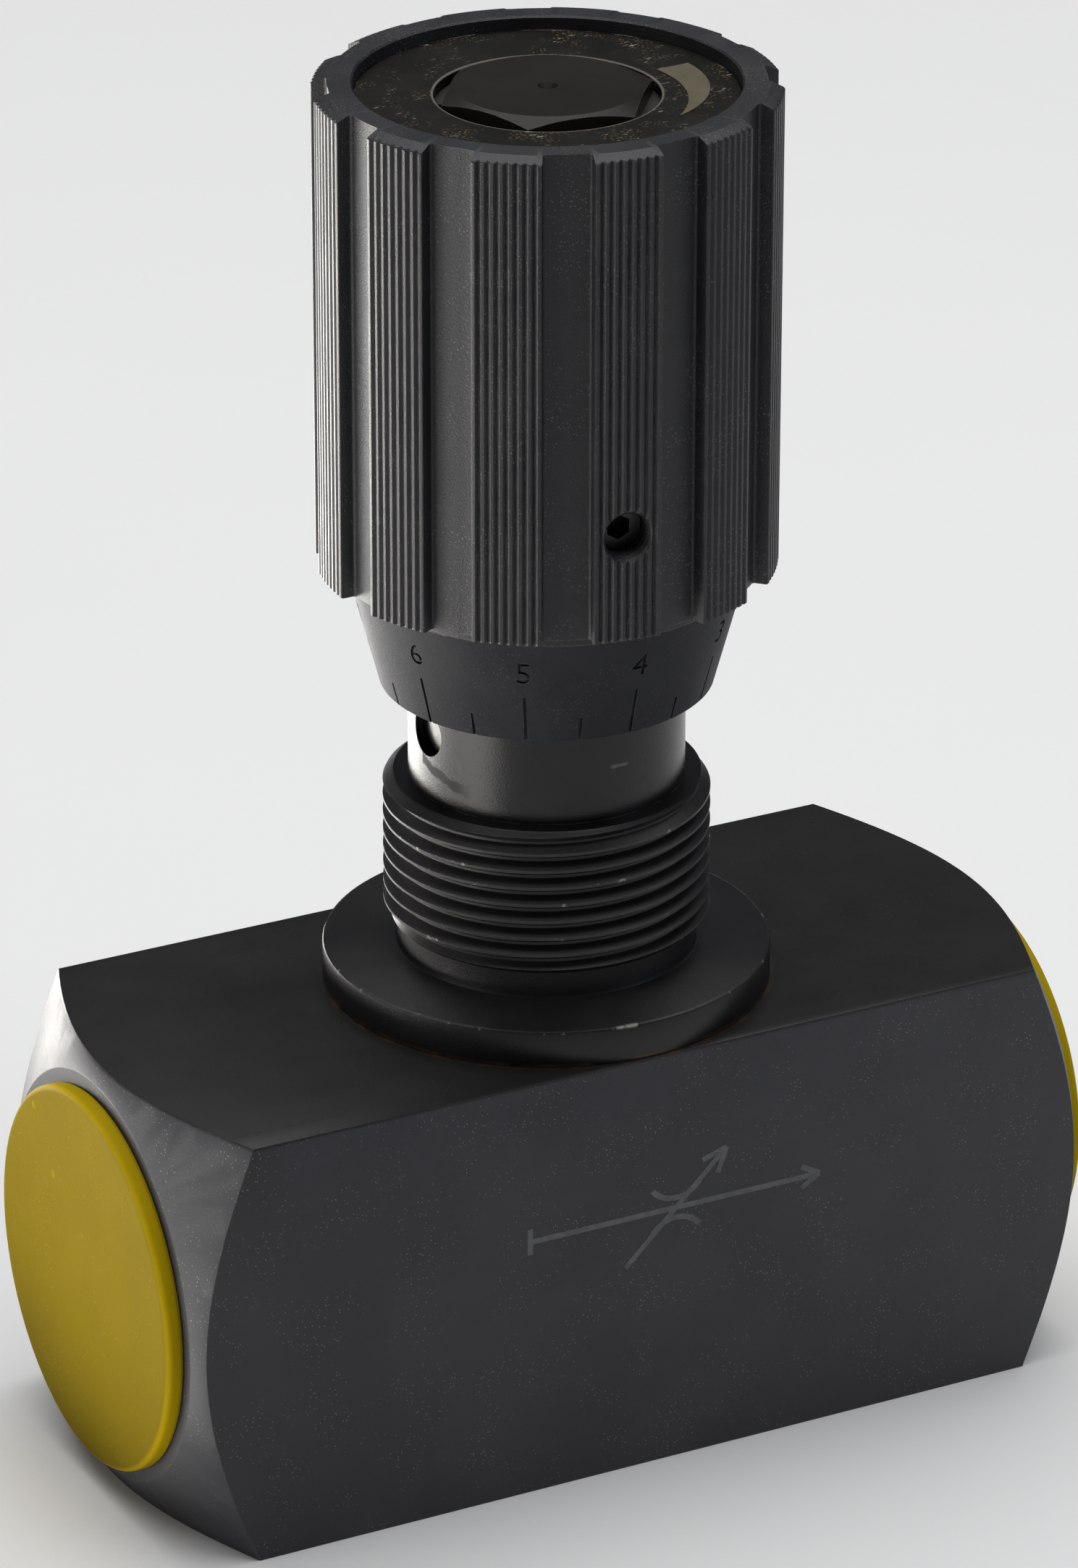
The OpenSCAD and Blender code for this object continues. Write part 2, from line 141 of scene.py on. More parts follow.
class Shader:
    """One material's node tree, with short ways to add its nodes."""

    def __init__(self, name: str) -> None:
        """Starts a material with only a Principled shader and its output."""
        self.material = bpy.data.materials.new(name)
        self.material.use_nodes = True
        self.tree = self.material.node_tree
        self.tree.nodes.clear()
        self.surface = self.tree.nodes.new("ShaderNodeBsdfPrincipled")
        output = self.tree.nodes.new("ShaderNodeOutputMaterial")
        self.tree.links.new(self.surface.outputs["BSDF"], output.inputs["Surface"])
        self._where: Optional[bpy.types.NodeSocket] = None

    def node(self, kind: str, settings: dict, values: dict) -> bpy.types.Node:
        """Adds any node.

        Args:
            kind: the node's type.
            settings: its properties, which are set first.
            values: values or links of its sockets, by name or number.

        Returns:
            The node.
        """
        made = self.tree.nodes.new(kind)
        for key, value in settings.items():
            setattr(made, key, value)
        for key, value in values.items():
            socket = made.inputs[key]
            if isinstance(value, Value):
                value = value.socket
            if isinstance(value, bpy.types.NodeSocket):
                self.tree.links.new(value, socket)
            else:
                socket.default_value = value
        return made

    def number(self, kind: str, settings: dict, values: dict, out: int | str = 0) -> Value:
        """Adds a node and wraps one of its outputs."""
        return Value(self, self.node(kind, settings, values).outputs[out])

    @property
    def where(self) -> bpy.types.NodeSocket:
        """Object coordinates."""
        if self._where is None:
            self._where = self.node("ShaderNodeTexCoord", {}, {}).outputs["Object"]
        return self._where

    def axes(self) -> tuple[Value, Value, Value]:
        """The three object coordinates as numbers."""
        split = self.node("ShaderNodeSeparateXYZ", {}, {0: self.where})
        x, y, z = (Value(self, split.outputs[k]) for k in range(3))
        return x, y, z

    def polar(self) -> tuple[Value, Value, Value]:
        """Distance from the upright axis, angle about it in radians, and height."""
        x, y, z = self.axes()
        radius = (x * x + y * y) ** 0.5
        angle = self.number("ShaderNodeMath", {"operation": "ARCTAN2"}, {0: y, 1: x})
        return radius, angle, z

    def stretched(self, scale: Colour) -> bpy.types.NodeSocket:
        """Object coordinates scaled along each axis."""
        return self.node("ShaderNodeMapping", {}, {"Vector": self.where, "Scale": scale}).outputs[0]

    def noise(self, scale: float, detail: float = 3.0, roughness: float = 0.55,
              vector: Optional[bpy.types.NodeSocket] = None) -> Value:
        """Soft noise between 0 and 1, its scale in features per metre."""
        values = {"Vector": vector or self.where, "Scale": scale, "Detail": detail, "Roughness": roughness}
        return self.number("ShaderNodeTexNoise", {"noise_dimensions": "3D"}, values)

    def specks(self, scale: float, size: float, soft: float = 0.04) -> Value:
        """Scattered round specks, 1 inside each; size is a share of their spacing."""
        cells = self.number(
            "ShaderNodeTexVoronoi", {"feature": "F1"}, {"Vector": self.where, "Scale": scale}, "Distance")
        return cells.above(size + soft, size)

    def edges(self, radius: float, low: float = 0.02, high: float = 0.18) -> Value:
        """1 on edges that are sharper than the radius, 0 on open faces."""
        rounded = self.node("ShaderNodeBevel", {"samples": 6}, {"Radius": radius}).outputs[0]
        plain = self.node("ShaderNodeNewGeometry", {}, {}).outputs["Normal"]
        dot = self.number(
            "ShaderNodeVectorMath", {"operation": "DOT_PRODUCT"}, {0: rounded, 1: plain}, "Value")
        return (1.0 - dot).above(low, high)

    def blend(self, factor: Value, first: object, second: object) -> bpy.types.NodeSocket:
        """Mixes two colours by a factor."""
        made = self.tree.nodes.new("ShaderNodeMix")
        made.data_type = "RGBA"
        made.clamp_factor = True
        self.tree.links.new(factor.socket, made.inputs[0])
        for slot, colour in ((6, first), (7, second)):
            if isinstance(colour, bpy.types.NodeSocket):
                self.tree.links.new(colour, made.inputs[slot])
            else:
                made.inputs[slot].default_value = (*colour, 1.0)
        return made.outputs[2]

    def feed(self, name: str, value: object) -> None:
        """Sets or links one socket of the surface shader."""
        socket = self.surface.inputs[name]
        if isinstance(value, Value):
            value = value.socket
        if isinstance(value, bpy.types.NodeSocket):
            self.tree.links.new(value, socket)
        elif isinstance(value, tuple) and len(value) == 3 and len(socket.default_value) == 4:
            socket.default_value = (*value, 1.0)
        else:
            socket.default_value = value

    def relief(self, height: Value, depth: float) -> None:
        """Bumps the surface by a height field, its depth in metres."""
        bump = self.node("ShaderNodeBump", {}, {"Strength": 1.0, "Distance": depth, "Height": height})
        self.feed("Normal", bump.outputs[0])


# -------------------------------------------------------------------- finishes

@dataclass(frozen=True)
class Finish:
    """A finish with a plain tone, mottling, grain and worn edges."""

    name: str
    tone: Colour
    second_tone: Colour
    roughness: float = 0.42
    roughness_spread: float = 0.12
    metallic: float = 0.0
    specular: float = 0.5
    mottle_scale: float = 70.0
    grain_scale: float = 5200.0
    grain_depth: float = 0.00003
    edge_radius: float = 0.0
    edge_tone: Colour = (0.20, 0.195, 0.185)
    edge_share: float = 0.75
    speck_tone: Colour = (0.30, 0.28, 0.25)
    speck_share: float = 0.0
    speck_scale: float = 2300.0
    wear_scale: float = 420.0

    def layers(self, shader: Shader, colour: bpy.types.NodeSocket,
               rough: Value) -> tuple[bpy.types.NodeSocket, Value]:
        """Adds what this finish has besides mottling, grain and worn edges.

        Args:
            shader: the material's tree.
            colour: the colour so far.
            rough: the roughness so far.

        Returns:
            The colour and the roughness with the layers added.
        """
        return colour, rough

    def height(self, shader: Shader) -> Value:
        """The relief of the surface, between 0 and 1."""
        return shader.noise(self.grain_scale, 3.0, 0.6)

    def material(self) -> bpy.types.Material:
        """Builds the material.

        Returns:
            The material, shared by each piece that has this finish.
        """
        known = bpy.data.materials.get(self.name)
        if known:
            return known
        shader = Shader(self.name)
        mottle = shader.noise(self.mottle_scale, 4.0, 0.6)
        colour = shader.blend(mottle.above(0.36, 0.66), self.tone, self.second_tone)
        rough = (mottle - 0.5) * self.roughness_spread * 2.0 + self.roughness
        if self.speck_share > 0.0:
            specks = shader.specks(self.speck_scale, self.speck_share) * shader.noise(160.0).above(0.42, 0.62)
            colour = shader.blend(specks * 0.8, colour, self.speck_tone)
        if self.edge_radius > 0.0:
            worn = shader.edges(self.edge_radius) * shader.noise(self.wear_scale, 4.0, 0.7).above(0.38, 0.66)
            colour = shader.blend(worn * self.edge_share, colour, self.edge_tone)
        colour, rough = self.layers(shader, colour, rough)
        shader.feed("Base Color", colour)
        shader.feed("Roughness", rough)
        shader.feed("Metallic", self.metallic)
        shader.feed("Specular IOR Level", self.specular)
        shader.relief(self.height(shader), self.grain_depth)
        return shader.material


@dataclass(frozen=True)
class BodyFinish(Finish):
    """Blackened bar steel: ground flats, painted shade that makes the top face darker and browner, and rust
    by the flange.
    """

    flange_radius: float = 24.8 * MM
    top: float = 50.0 * MM
    # Painted shade for the top face: a darker, browner tone standing in for how light falls there.
    brown: Colour = (0.0062, 0.0056, 0.0036)
    rust: Colour = (0.055, 0.026, 0.013)

    def layers(self, shader: Shader, colour: bpy.types.NodeSocket,
               rough: Value) -> tuple[bpy.types.NodeSocket, Value]:
        """Adds painted shade on the top face, the rust halo, fine grinding lines and faint handling marks."""
        radius, _, height = shader.polar()
        on_top = height.above(self.top - 0.5 * MM, self.top - 0.1 * MM)
        # Painted shade: the top face is darkened and browned to stand for how light falls on it.
        colour = shader.blend(on_top * 0.8, colour, self.brown)
        halo = radius.between(self.flange_radius - 1 * MM, self.flange_radius + 0.15 * MM, 0.6 * MM)
        patchy = shader.noise(330.0, 4.0, 0.7).above(0.40, 0.70)
        colour = shader.blend(on_top * halo * patchy * 0.7, colour, self.rust)
        lines = shader.noise(1.0, 2.0, 0.6, shader.stretched((60.0, 60.0, 5200.0)))
        rough = rough + (lines - 0.5) * 0.10 - on_top * 0.10
        marks = shader.noise(1.0, 3.0, 0.6, shader.stretched((90.0, 700.0, 1500.0))).above(0.72, 0.80)
        colour = shader.blend(marks * 0.10, colour, (0.10, 0.10, 0.10))
        return colour, rough

    def height(self, shader: Shader) -> Value:
        """Grain with fine lines along the bar."""
        lines = shader.noise(1.0, 2.0, 0.6, shader.stretched((80.0, 4200.0, 4200.0)))
        return shader.noise(self.grain_scale, 3.0, 0.6) * 0.65 + lines * 0.35


@dataclass(frozen=True)
class BushFinish(Finish):
    """Blackened turned steel: a glossy neck, nicked thread crests with a painted highlight along them, and a
    rusty joint line.
    """

    body_top: float = 50.0 * MM
    flange_top: float = 54.3 * MM
    flange_radius: float = 24.8 * MM
    thread_bottom: float = 57.0 * MM
    thread_top: float = 74.5 * MM
    crest_radius: float = 18.0 * MM
    smudge_angle: float = math.radians(-168.0)
    smudge_height: float = 78.0 * MM
    scratch_angle: float = math.radians(-86.5)
    scratch_height: float = 80.6 * MM
    neck_roughness: float = 0.17
    rust: Colour = (0.085, 0.040, 0.020)
    nick: Colour = (0.42, 0.40, 0.37)

    def layers(self, shader: Shader, colour: bpy.types.NodeSocket,
               rough: Value) -> tuple[bpy.types.NodeSocket, Value]:
        """Adds the neck's gloss and marks, nicks on the crests and the flange rim, a painted highlight along
        the crests, and rust.
        """
        radius, angle, height = shader.polar()
        neck = height.above(self.thread_top - 0.2 * MM, self.thread_top)
        rough = rough * (1.0 - neck) + neck * (self.neck_roughness + 0.10 * shader.noise(260.0))
        ragged = (shader.noise(500.0, 3.0) - 0.5) * 1.6 * MM
        away = (height + ragged + (angle - self.smudge_angle) * 3.5 * MM - self.smudge_height)
        smudge = abs(away).above(0.85 * MM, 0.45 * MM)
        smudge = smudge * abs(angle - self.smudge_angle).above(0.34, 0.16) * neck
        colour = shader.blend(smudge, colour, (0.004, 0.004, 0.004))
        rough = rough + smudge * 0.45
        scratch = abs(height + ragged * 0.5 - self.scratch_height).above(0.26 * MM, 0.12 * MM)
        scratch = scratch * abs(angle - self.scratch_angle).above(0.085, 0.05) * neck
        colour = shader.blend(scratch * 0.55, colour, (0.16, 0.15, 0.14))
        threaded = height.between(self.thread_bottom, self.thread_top, 0.05 * MM)
        crest = radius.above(self.crest_radius - 0.14 * MM, self.crest_radius - 0.02 * MM) * threaded
        nicks = shader.noise(620.0, 3.0, 0.7).above(0.60, 0.68) * shader.noise(90.0).above(0.50, 0.60)
        colour = shader.blend(crest * nicks, colour, self.nick)
        # Painted highlight: every thread crest is lightened evenly to stand for light catching it.
        colour = shader.blend(crest * 0.16, colour, (0.09, 0.09, 0.09))
        rim = radius.above(self.flange_radius - 0.5 * MM, self.flange_radius - 0.1 * MM)
        rim = rim * height.above(self.flange_top - 0.45 * MM, self.flange_top - 0.15 * MM)
        rim_nicks = shader.noise(380.0, 3.0, 0.7).above(0.60, 0.70)
        colour = shader.blend(rim * rim_nicks * 0.7, colour, self.nick)
        joint = height.above(self.body_top + 0.55 * MM, self.body_top + 0.10 * MM)
        colour = shader.blend(joint * shader.noise(300.0, 3.0).above(0.34, 0.60), colour, self.rust)
        return colour, rough


@dataclass(frozen=True)
class DiscFinish(Finish):
    """Satin black pressing with dust and pale lint lying on it, and a painted highlight round its hole."""

    top: float = 152.6 * MM
    # Pale tone for the lint and for the painted highlight round the hole.
    lint: Colour = (0.32, 0.30, 0.26)
    dust: Colour = (0.10, 0.065, 0.035)

    def layers(self, shader: Shader, colour: bpy.types.NodeSocket,
               rough: Value) -> tuple[bpy.types.NodeSocket, Value]:
        """Adds dust, lint, a painted highlight round the hole and a paler outer edge."""
        radius, _, height = shader.polar()
        up = height.above(self.top - 0.2 * MM, self.top - 0.02 * MM)
        gather = shader.noise(230.0, 3.0, 0.6).above(0.46, 0.66)
        colour = shader.blend(shader.specks(2400.0, 0.30) * gather * up, colour, self.dust)
        threads = shader.noise(1.0, 2.0, 0.5, shader.stretched((900.0, 2600.0, 900.0))).above(0.645, 0.69)
        colour = shader.blend(threads * gather * up * 0.8, colour, self.lint)
        # Painted highlight: a thin pale ring along the hole's edge stands for light catching it.
        inner = radius.above(12.45 * MM, 12.2 * MM) * up
        outer = radius.above(20.2 * MM, 20.5 * MM) * up * shader.noise(200.0).above(0.52, 0.66)
        colour = shader.blend((inner + outer) * 0.5, colour, self.lint)
        return colour, rough


@dataclass(frozen=True)
class PlasticFinish(Finish):
    """Moulded plug plastic with flow marks, scuffs and painted light that makes the rim a lighter, deeper
    yellow.
    """

    head_radius: float = 21.65 * MM
    axis_height: float = 25.0 * MM
    # Tone for the painted light on the rim and for the small marks.
    grime: Colour = (0.50, 0.345, 0.0030)

    def layers(self, shader: Shader, colour: bpy.types.NodeSocket,
               rough: Value) -> tuple[bpy.types.NodeSocket, Value]:
        """Adds painted light on the rim, scuffs on the face and small dark marks."""
        x, y, z = shader.axes()
        up = z - self.axis_height
        radius = (y * y + up * up) ** 0.5
        # Painted light: the rim is made a lighter, deeper yellow to make up for the dim light on its rounded
        # side.
        rim = radius.above(self.head_radius - 0.75 * MM, self.head_radius - 0.05 * MM)
        colour = shader.blend(rim * 0.65, colour, self.grime)
        scuffs = shader.noise(1.0, 4.0, 0.7, shader.stretched((300.0, 900.0, 140.0))).above(0.62, 0.74)
        rough = rough + scuffs * 0.18
        spots = shader.specks(260.0, 0.10) * shader.noise(90.0).above(0.55, 0.65)
        colour = shader.blend(spots * 0.35, colour, self.grime)
        return colour, rough


OXIDE_BODY = BodyFinish(
    "blackened_bar", (0.030, 0.0305, 0.0355), (0.039, 0.0395, 0.045), roughness=0.46,
    specular=0.31, edge_radius=0.45 * MM, edge_tone=(0.17, 0.165, 0.155), speck_share=0.12)
OXIDE_BUSH = BushFinish(
    "blackened_turned_steel", (0.0095, 0.0095, 0.0100), (0.0150, 0.0145, 0.0145), roughness=0.36,
    specular=0.30, edge_radius=0.22 * MM, edge_tone=(0.10, 0.098, 0.094), edge_share=0.6)
OXIDE_SPINDLE = Finish(
    "blackened_spindle", (0.0125, 0.0108, 0.008), (0.016, 0.0138, 0.0105), roughness=0.34, specular=0.16,
    edge_radius=0.2 * MM, edge_tone=(0.22, 0.22, 0.24), edge_share=0.5, grain_depth=0.00001)
KNOB_SATIN = Finish(
    "satin_black_knob", (0.0105, 0.0112, 0.0135), (0.0165, 0.0172, 0.0192), roughness=0.42,
    specular=0.42, mottle_scale=120.0, edge_radius=0.3 * MM, edge_tone=(0.105, 0.102, 0.098),
    speck_share=0.20, speck_tone=(0.10, 0.098, 0.094), grain_depth=0.00006)
DIAL_SATIN = Finish(
    "satin_black_dial", (0.0170, 0.0180, 0.0215), (0.0250, 0.0262, 0.0295), roughness=0.55,
    specular=0.14, mottle_scale=120.0, edge_radius=0.2 * MM, edge_tone=(0.105, 0.102, 0.098),
    speck_share=0.14, speck_tone=(0.10, 0.098, 0.094), grain_depth=0.00005)
DISC_SATIN = DiscFinish(
    "satin_cover_disc", (0.0065, 0.0062, 0.005), (0.0095, 0.009, 0.0072), roughness=0.42, specular=0.14,
    mottle_scale=150.0)
MARK_PAINT = Finish(
    "cream_mark_paint", (0.118, 0.102, 0.070), (0.102, 0.089, 0.060), roughness=0.7, specular=0.08,
    mottle_scale=300.0, edge_radius=0.15 * MM, edge_tone=(0.06, 0.05, 0.035), edge_share=0.6,
    speck_share=0.10, speck_tone=(0.05, 0.043, 0.03))
PLUG_YELLOW = PlasticFinish(
    "yellow_moulded_plug", (0.158, 0.112, 0.0026), (0.176, 0.126, 0.0036), roughness=0.56, specular=0.02,
    mottle_scale=45.0, grain_scale=2600.0, grain_depth=0.00004, speck_share=0.07,
    speck_tone=(0.62, 0.54, 0.12))
SCREW_OXIDE = Finish(
    "blackened_screw", (0.03, 0.03, 0.032), (0.05, 0.048, 0.045), roughness=0.38, metallic=0.4,
    edge_radius=0.15 * MM, grain_depth=0.00002)
BRIGHT_STEEL = Finish(
    "polished_steel", (0.42, 0.42, 0.43), (0.34, 0.335, 0.33), roughness=0.26, metallic=1.0,
    mottle_scale=400.0, grain_depth=0.00001)
# Painted shade: the stop pin's steel is darkened so that its cross hole reads black.
SHADED_PIN_STEEL = Finish(
    "pin_steel_painted_shade", (0.05, 0.05, 0.05), (0.035, 0.034, 0.033), roughness=0.22, metallic=1.0,
    mottle_scale=400.0, grain_depth=0.00001)
DARK_SPRING_STEEL = Finish(
    "dark_spring_steel", (0.020, 0.018, 0.016), (0.03, 0.027, 0.024), roughness=0.42,
    mottle_scale=400.0, grain_depth=0.00001)
SEAL_RUBBER = Finish(
    "ring_rubber", (0.014, 0.014, 0.014), (0.022, 0.022, 0.021), roughness=0.62,
    grain_scale=3800.0, grain_depth=0.00004)
WHITE_RING = Finish(
    "white_backup_plastic", (0.72, 0.71, 0.68), (0.66, 0.65, 0.61), roughness=0.48)
PAD_BRASS = Finish(
    "soft_pad_brass", (0.60, 0.42, 0.16), (0.50, 0.34, 0.12), roughness=0.32, metallic=1.0,
    mottle_scale=500.0, grain_depth=0.00002)
ETCHED_GREY = Finish(
    "etched_grey", (0.105, 0.108, 0.112), (0.080, 0.082, 0.085), roughness=0.62,
    mottle_scale=900.0, speck_share=0.20, speck_tone=(0.035, 0.035, 0.037))
PALE_FLOOR = Finish(
    "pale_floor", (0.86, 0.86, 0.855), (0.845, 0.845, 0.84), roughness=0.85, mottle_scale=3.0,
    specular=0.2, grain_scale=260.0, grain_depth=0.0001)


# ------------------------------------------------------------------ mesh tools

def turned(profile: Profile, steps: int = 144, closed: bool = True) -> bmesh.types.BMesh:
    """Turns an outline about the upright axis.

    Args:
        profile: [radius, height] points in millimetres.
        steps: segments round the turn.
        closed: whether the outline joins up with its first point.

    Returns:
        A bmesh in metres.
    """
    bm = bmesh.new()
    verts = [bm.verts.new((r * MM, 0.0, z * MM)) for r, z in profile]
    pairs = list(zip(verts, verts[1:]))
    if closed:
        pairs.append((verts[-1], verts[0]))
    lines = [bm.edges.new(pair) for pair in pairs]
    bmesh.ops.spin(
        bm, geom=verts + lines, cent=(0, 0, 0), axis=(0, 0, 1), dvec=(0, 0, 0),
        angle=2 * math.pi, steps=steps, use_merge=True, use_duplicate=False)
    bmesh.ops.remove_doubles(bm, verts=bm.verts, dist=1e-7)
    return bm


def soften(bm: bmesh.types.BMesh, width: float, wanted: Callable[[bmesh.types.BMEdge], bool],
           segments: int = 2) -> None:
    """Bevels the edges that are wanted.

    Args:
        bm: the mesh.
        width: the bevel's width in metres.
        wanted: says whether an edge is bevelled.
        segments: faces across each bevel.
    """
    chosen = [edge for edge in bm.edges if wanted(edge)]
    bmesh.ops.bevel(
        bm, geom=chosen, offset=width, offset_type="OFFSET", segments=segments, profile=0.5,
        affect="EDGES", clamp_overlap=True, material=-1)


def corner_angle(edge: bmesh.types.BMEdge) -> float:
    """The angle between an edge's two faces, in degrees, or 0 at an open edge."""
    return math.degrees(edge.calc_face_angle(0.0)) if len(edge.link_faces) == 2 else 0.0


def as_object(bm: bmesh.types.BMesh, name: str, sharp: float = 32.0) -> bpy.types.Object:
    """Makes an object of a bmesh, smooth except along its corners.

    Args:
        bm: the mesh, which is used up.
        name: the piece's name.
        sharp: corners above this many degrees stay sharp.

    Returns:
        The object, at the origin.
    """
    bmesh.ops.remove_doubles(bm, verts=bm.verts, dist=1e-7)
    bmesh.ops.recalc_face_normals(bm, faces=bm.faces)
    for face in bm.faces:
        face.smooth = True
    for edge in bm.edges:
        edge.smooth = corner_angle(edge) < sharp
    mesh = bpy.data.meshes.new(name)
    bm.to_mesh(mesh)
    bm.free()
    made = bpy.data.objects.new(name, mesh)
    bpy.context.scene.collection.objects.link(made)
    return made


def carved(target: bmesh.types.BMesh, tool: bmesh.types.BMesh) -> bmesh.types.BMesh:
    """Cuts one closed mesh out of another.

    Args:
        target: the mesh to cut, which is used up.
        tool: what is cut away, which is used up.

    Returns:
        The cut mesh.
    """
    base = as_object(target, "carving_base")
    cutter = as_object(tool, "carving_tool")
    cut = base.modifiers.new("cut", "BOOLEAN")
    cut.operation = "DIFFERENCE"
    cut.solver = "EXACT"
    cut.object = cutter
    graph = bpy.context.evaluated_depsgraph_get()
    result = bmesh.new()
    result.from_mesh(base.evaluated_get(graph).to_mesh())
    for spare in (base, cutter):
        mesh = spare.data
        bpy.data.objects.remove(spare)
        bpy.data.meshes.remove(mesh)
    bmesh.ops.dissolve_degenerate(result, dist=1e-7, edges=result.edges)
    return result


def outwards(degrees: float) -> Matrix:
    """The turn that lays an upright piece down so that it points out at an angle."""
    return Matrix.Rotation(math.radians(degrees), 4, "Z") @ Matrix.Rotation(math.pi / 2, 4, "Y")


def node_copy(node: str) -> bmesh.types.BMesh:
    """A merged copy of a CAD node's mesh, with its flat faces joined up."""
    bm = bmesh.new()
    bm.from_mesh(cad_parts[node].data)
    bmesh.ops.remove_doubles(bm, verts=bm.verts, dist=2e-6)
    bmesh.ops.dissolve_degenerate(bm, dist=1e-7, edges=bm.edges)
    bmesh.ops.dissolve_limit(
        bm, angle_limit=math.radians(0.4), use_dissolve_boundaries=False, verts=bm.verts, edges=bm.edges)
    return bm


def add_into(target: bmesh.types.BMesh, extra: bmesh.types.BMesh) -> None:
    """Adds one bmesh to another; the extra one is used up."""
    spare = bpy.data.meshes.new("spare")
    extra.to_mesh(spare)
    extra.free()
    target.from_mesh(spare)
    bpy.data.meshes.remove(spare)


def helix(root: float, crest: float, bottom: float, top: float, pitch: float,
          steps: int = 120, flat: float = 0.14) -> bmesh.types.BMesh:
    """A right-hand screw thread between two heights.

    Args:
        root: radius in the grooves, in millimetres.
        crest: radius on the crests.
        bottom: lower end.
        top: upper end.
        pitch: distance between crests.
        steps: segments for each turn.
        flat: share of the pitch that is flat on each crest and in each groove.

    Returns:
        The thread's skin, open inside, cut square at both ends.
    """
    bm = bmesh.new()
    chain = []
    level = bottom - 2 * pitch
    while level < top + pitch:
        for share, radius in ((0.0, root), (flat, root), (0.5, crest), (0.5 + flat, crest)):
            chain.append(bm.verts.new((radius * MM, 0.0, (level + share * pitch) * MM)))
        level += pitch
    lines = [bm.edges.new(pair) for pair in zip(chain, chain[1:])]
    bmesh.ops.spin(
        bm, geom=chain + lines, cent=(0, 0, 0), axis=(0, 0, 1), dvec=(0, 0, pitch * MM / steps),
        angle=2 * math.pi, steps=steps, use_merge=False, use_duplicate=False)
    bmesh.ops.remove_doubles(bm, verts=bm.verts, dist=2e-6)
    for height, side in ((bottom, -1), (top, 1)):
        bmesh.ops.bisect_plane(
            bm, geom=bm.verts[:] + bm.edges[:] + bm.faces[:], dist=1e-7, plane_co=(0, 0, height * MM),
            plane_no=(0, 0, side), clear_outer=True)
    return bm


def pull_rim(bm: bmesh.types.BMesh, height: float, radius: float) -> None:
    """Extrudes the open rim at a height in to a radius, both in millimetres."""
    rim = [e for e in bm.edges if e.is_boundary and all(abs(v.co.z - height * MM) < 1e-6 for v in e.verts)]
    fresh = bmesh.ops.extrude_edge_only(bm, edges=rim)["geom"]
    for vert in (v for v in fresh if isinstance(v, bmesh.types.BMVert)):
        flat = vert.co.xy.normalized() * radius * MM
        vert.co.x, vert.co.y = flat.x, flat.y


def dressed(piece: bpy.types.Object, finish: Finish, body: Body,
            replaced: Iterable[str] = ()) -> bpy.types.Object:
    """Gives a piece its finish and its body, and hides the CAD nodes that it stands for.

    Args:
        piece: the object.
        finish: its finish.
        body: the body that it rides on.
        replaced: CAD nodes that it stands for.

    Returns:
        The piece.
    """
    piece.data.materials.clear()
    piece.data.materials.append(finish.material())
    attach(piece, body.value)
    if replaced:
        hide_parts(*replaced)
    log.info("%s: %d faces on %s", piece.name, len(piece.data.polygons), body.value)
    return piece


# ------------------------------------------------------------- sub-assemblies

